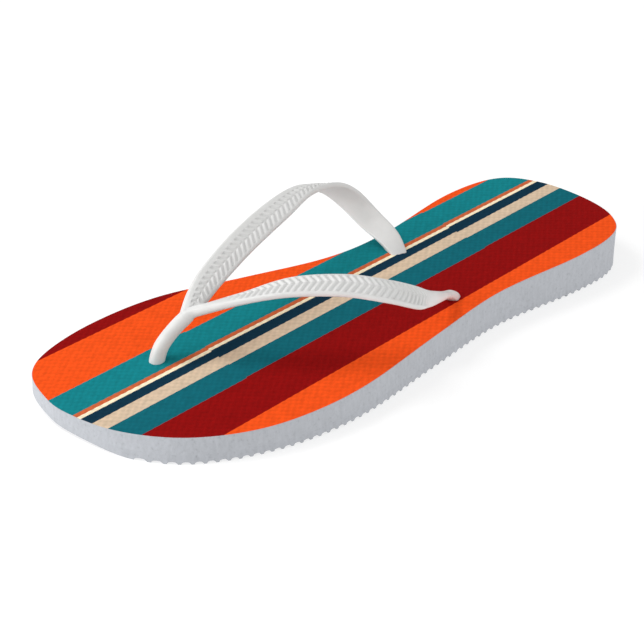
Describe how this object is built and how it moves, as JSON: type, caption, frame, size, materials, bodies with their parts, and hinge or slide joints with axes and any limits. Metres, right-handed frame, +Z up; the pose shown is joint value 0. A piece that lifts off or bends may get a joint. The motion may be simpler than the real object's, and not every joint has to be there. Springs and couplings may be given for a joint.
{
  "type": "flip flop",
  "caption": "Left thong sandal: wedge sole with striped footbed and ribbed tread, and a slim Y-shaped strap on a toe post, locked through the sole by plugs.",
  "frame": {"origin": "on the floor, under the middle of the sole", "axes": "+X from toe to heel, +Y towards the inner side of the foot, +Z up"},
  "size_m": [0.2559, 0.1036, 0.0452],
  "materials": {
    "printed_footbed": "matte foam rubber with a raised grain, printed with lengthwise stripes in orange, teal, rust, cream, navy, tan and dark red",
    "sole_foam": "matte white foam rubber, cut edge",
    "tread_foam": "matte white foam rubber, moulded ribs",
    "strap_rubber": "satin white moulded rubber"
  },
  "bodies": {
    "root": {"footbed": "printed_footbed", "midsole": "sole_foam", "outsole": "tread_foam", "toe_post": "strap_rubber", "strap_yoke": "strap_rubber", "inner_arm": "strap_rubber", "outer_arm": "strap_rubber", "toe_plug": "strap_rubber", "inner_plug": "strap_rubber", "outer_plug": "strap_rubber"}
  },
  "joints": []
}
